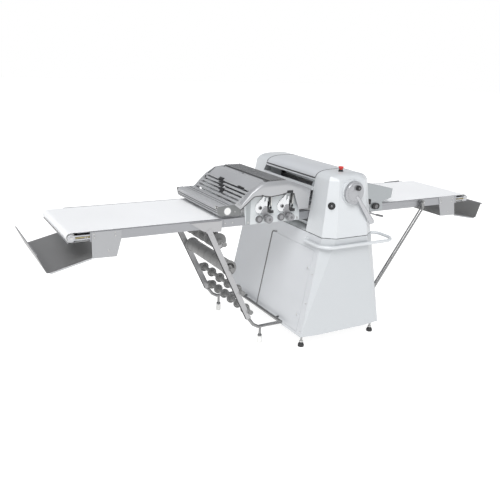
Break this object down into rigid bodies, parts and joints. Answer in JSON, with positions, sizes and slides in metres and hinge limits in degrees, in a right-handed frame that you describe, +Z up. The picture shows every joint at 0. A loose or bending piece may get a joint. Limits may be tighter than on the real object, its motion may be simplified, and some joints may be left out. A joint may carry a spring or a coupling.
{
  "type": "dough sheeter",
  "caption": "Floor-standing dough sheeter: roller head on a cabinet, belt tables both sides, fold-up right table, cutting station with hinged guard, and a magazine of cutting rollers.",
  "frame": {"origin": "on the floor under the middle of the machine's overall length and depth", "axes": "+X along the belts to the right as the operator at the lever sees it, +Y to the back, +Z up"},
  "size_m": [3.89, 1.2505, 1.3479],
  "materials": {
    "painted_white": "semi-gloss powder coat",
    "painted_grey": "satin powder coat",
    "frame_steel": "matt black frame paint",
    "stainless": "brushed",
    "aluminium": "satin anodised",
    "cast": "bead-blasted casting",
    "roller_chrome": "hard-chromed, polished",
    "belt": "food-grade woven belt, smooth top",
    "black_plastic": "fine texture",
    "red_plastic": "gloss",
    "white_plastic": "matt",
    "foot": "matt",
    "motor_paint": "painted cast iron",
    "chain_steel": "oiled",
    "parked_grey": "moulded cutter plastic"
  },
  "bodies": {
    "machine": {"base_frame": "frame_steel", "left_side_panel": "painted_grey", "left_service_cover": "painted_grey", "right_side_panel": "painted_grey", "front_cover": "painted_white", "back_cover": "painted_white", "levelling_feet": "foot", "hand_rail": "painted_white", "gear_motor": "motor_paint", "drive_chain": "chain_steel", "control_box": "painted_grey", "head_frame": "aluminium", "front_housing": "painted_white", "rear_housing": "painted_white", "head_roof": "painted_white", "lower_scrapers": "white_plastic", "estop_base": "black_plastic", "right_cheeks": "stainless", "right_inner_belt": "belt", "left_table_frame": "aluminium", "left_belt": "belt", "left_tensioners": "stainless", "left_tray": "stainless", "station_frames": "aluminium", "station_hoods": "stainless", "station_top": "stainless", "rack_channels": "aluminium", "rack_frame": "stainless", "rack_feet": "white_plastic"},
    "drive_sprocket": {"drive_sprocket": "chain_steel"},
    "lower_roller": {"lower_roller": "roller_chrome"},
    "upper_carriage": {"upper_carriage": "aluminium"},
    "upper_roller": {"upper_roller": "roller_chrome"},
    "gap_lever": {"gap_lever": "cast"},
    "stop_knob": {"stop_knob": "black_plastic"},
    "selector_knob": {"selector_knob": "black_plastic"},
    "estop_button": {"estop_button": "red_plastic"},
    "right_guard": {"right_guard": "stainless"},
    "right_table": {"right_table_frame": "aluminium", "right_belt": "belt", "right_tensioners": "stainless", "right_tray": "stainless"},
    "right_end_roller": {"right_end_roller": "aluminium"},
    "right_pivot_roller": {"right_pivot_roller": "aluminium"},
    "right_drive_roller": {"right_drive_roller": "aluminium"},
    "right_strut": {"right_strut": "stainless"},
    "table_latch": {"table_latch": "black_plastic"},
    "left_end_roller": {"left_end_roller": "aluminium"},
    "left_drive_roller": {"left_drive_roller": "aluminium"},
    "station_guard": {"guard_panel": "stainless"},
    "cutter_arm_1": {"cutter_arm_1": "cast"},
    "cutting_roller_1": {"cutting_roller_1": "white_plastic"},
    "pressure_knob_1": {"pressure_knob_1": "cast"},
    "cutter_arm_2": {"cutter_arm_2": "cast"},
    "cutting_roller_2": {"cutting_roller_2": "white_plastic"},
    "pressure_knob_2": {"pressure_knob_2": "cast"},
    "parked_blade_roller": {"parked_blade_roller": "parked_grey"},
    "parked_drum": {"parked_drum": "parked_grey"},
    "parked_disc_cutter_1": {"parked_disc_cutter_1": "parked_grey"},
    "parked_disc_cutter_2": {"parked_disc_cutter_2": "parked_grey"}
  },
  "joints": [
    {"name": "lower_roller_spin", "type": "hinge", "parent": "machine", "child": "lower_roller", "pos_m": [0.2455, 0, 0.961], "axis": [0, 1, 0], "continuous": true},
    {"name": "drive_sprocket_spin", "type": "hinge", "parent": "machine", "child": "drive_sprocket", "pos_m": [0.2455, 0, 0.21], "axis": [0, 1, 0], "continuous": true},
    {"name": "upper_roller_lift", "type": "slide", "parent": "machine", "child": "upper_carriage", "axis": [0, 0, 1], "range_m": [-0.0195, 0.025]},
    {"name": "upper_roller_spin", "type": "hinge", "parent": "upper_carriage", "child": "upper_roller", "pos_m": [0.2455, 0, 1.065], "axis": [0, 1, 0], "continuous": true},
    {"name": "gap_lever_turn", "type": "hinge", "parent": "machine", "child": "gap_lever", "pos_m": [0.2375, -0.6, 1.18], "axis": [0, -1, 0], "range_deg": [-49, 62.5]},
    {"name": "stop_knob_turn", "type": "hinge", "parent": "gap_lever", "child": "stop_knob", "pos_m": [0.2555, -0.624, 1.216], "axis": [0, 1, 0], "range_deg": [-170, 170]},
    {"name": "selector_turn", "type": "hinge", "parent": "machine", "child": "selector_knob", "pos_m": [0.08087, -0.55105, 1.08297], "axis": [-0.5782, -0.8021, 0.1493], "range_deg": [-40, 40]},
    {"name": "estop_press", "type": "slide", "parent": "machine", "child": "estop_button", "axis": [0, 0, 1], "range_m": [-0.004, 0], "stiffness_N_per_m": 1500, "springref_m": 0.004},
    {"name": "right_guard_lift", "type": "hinge", "parent": "machine", "child": "right_guard", "pos_m": [0.4595, 0, 1.186], "axis": [0, -1, 0], "range_deg": [0, 80]},
    {"name": "right_table_fold", "type": "hinge", "parent": "machine", "child": "right_table", "pos_m": [0.6755, 0, 0.974], "axis": [0, -1, 0], "range_deg": [0, 75]},
    {"name": "right_strut_swing", "type": "hinge", "parent": "right_table", "child": "right_strut", "pos_m": [1.1745, 0, 0.985], "axis": [0, -1, 0], "range_deg": [-40.5, 0]},
    {"name": "right_end_roller_spin", "type": "hinge", "parent": "right_table", "child": "right_end_roller", "pos_m": [1.7185, 0, 0.974], "axis": [0, 1, 0], "continuous": true},
    {"name": "right_pivot_roller_spin", "type": "hinge", "parent": "machine", "child": "right_pivot_roller", "pos_m": [0.6755, 0, 0.974], "axis": [0, 1, 0], "continuous": true},
    {"name": "right_drive_roller_spin", "type": "hinge", "parent": "machine", "child": "right_drive_roller", "pos_m": [0.3455, 0, 0.974], "axis": [0, 1, 0], "continuous": true},
    {"name": "left_end_roller_spin", "type": "hinge", "parent": "machine", "child": "left_end_roller", "pos_m": [-1.7285, 0, 0.974], "axis": [0, 1, 0], "continuous": true},
    {"name": "left_drive_roller_spin", "type": "hinge", "parent": "machine", "child": "left_drive_roller", "pos_m": [0.1455, 0, 0.974], "axis": [0, 1, 0], "continuous": true},
    {"name": "table_latch_turn", "type": "hinge", "parent": "machine", "child": "table_latch", "pos_m": [0.6215, -0.354, 0.94], "axis": [0, 1, 0], "range_deg": [0, 40]},
    {"name": "station_guard_lift", "type": "hinge", "parent": "machine", "child": "station_guard", "pos_m": [-0.3465, 0, 1.24], "axis": [0, 1, 0], "range_deg": [0, 75]},
    {"name": "cutter_arm_1_swing", "type": "hinge", "parent": "machine", "child": "cutter_arm_1", "pos_m": [-0.3425, 0, 0.983], "axis": [0, 1, 0], "range_deg": [0, 30]},
    {"name": "cutting_roller_1_spin", "type": "hinge", "parent": "cutter_arm_1", "child": "cutting_roller_1", "pos_m": [-0.3985, 0, 1.062], "axis": [0, 1, 0], "continuous": true},
    {"name": "pressure_knob_1_turn", "type": "hinge", "parent": "machine", "child": "pressure_knob_1", "pos_m": [-0.3425, -0.37, 0.983], "axis": [0, 1, 0], "range_deg": [-180, 180]},
    {"name": "cutter_arm_2_swing", "type": "hinge", "parent": "machine", "child": "cutter_arm_2", "pos_m": [-0.1585, 0, 0.983], "axis": [0, 1, 0], "range_deg": [0, 30]},
    {"name": "cutting_roller_2_spin", "type": "hinge", "parent": "cutter_arm_2", "child": "cutting_roller_2", "pos_m": [-0.2145, 0, 1.062], "axis": [0, 1, 0], "continuous": true},
    {"name": "pressure_knob_2_turn", "type": "hinge", "parent": "machine", "child": "pressure_knob_2", "pos_m": [-0.1585, -0.37, 0.983], "axis": [0, 1, 0], "range_deg": [-180, 180]},
    {"name": "parked_blade_roller_spin", "type": "hinge", "parent": "machine", "child": "parked_blade_roller", "pos_m": [-0.6845, 0, 0.826], "axis": [0, 1, 0], "continuous": true},
    {"name": "parked_drum_spin", "type": "hinge", "parent": "machine", "child": "parked_drum", "pos_m": [-0.6125, 0, 0.628], "axis": [0, 1, 0], "continuous": true},
    {"name": "parked_disc_cutter_1_spin", "type": "hinge", "parent": "machine", "child": "parked_disc_cutter_1", "pos_m": [-0.5205, 0, 0.436], "axis": [0, 1, 0], "continuous": true},
    {"name": "parked_disc_cutter_2_spin", "type": "hinge", "parent": "machine", "child": "parked_disc_cutter_2", "pos_m": [-0.4445, 0, 0.272], "axis": [0, 1, 0], "continuous": true}
  ],
  "couplings": [
    {"joint": "drive_sprocket_spin", "follows": "lower_roller_spin", "ratio": 1},
    {"joint": "upper_roller_spin", "follows": "lower_roller_spin", "ratio": -1},
    {"joint": "right_end_roller_spin", "follows": "lower_roller_spin", "ratio": 1.4483},
    {"joint": "right_pivot_roller_spin", "follows": "lower_roller_spin", "ratio": 1.4483},
    {"joint": "right_drive_roller_spin", "follows": "lower_roller_spin", "ratio": 1.4483},
    {"joint": "left_end_roller_spin", "follows": "lower_roller_spin", "ratio": 1.4483},
    {"joint": "left_drive_roller_spin", "follows": "lower_roller_spin", "ratio": 1.4483},
    {"joint": "gap_lever_turn", "follows": "upper_roller_lift", "rad_per_m": 43.1},
    {"joint": "right_strut_swing", "follows": "right_table_fold", "ratio": -0.54}
  ]
}
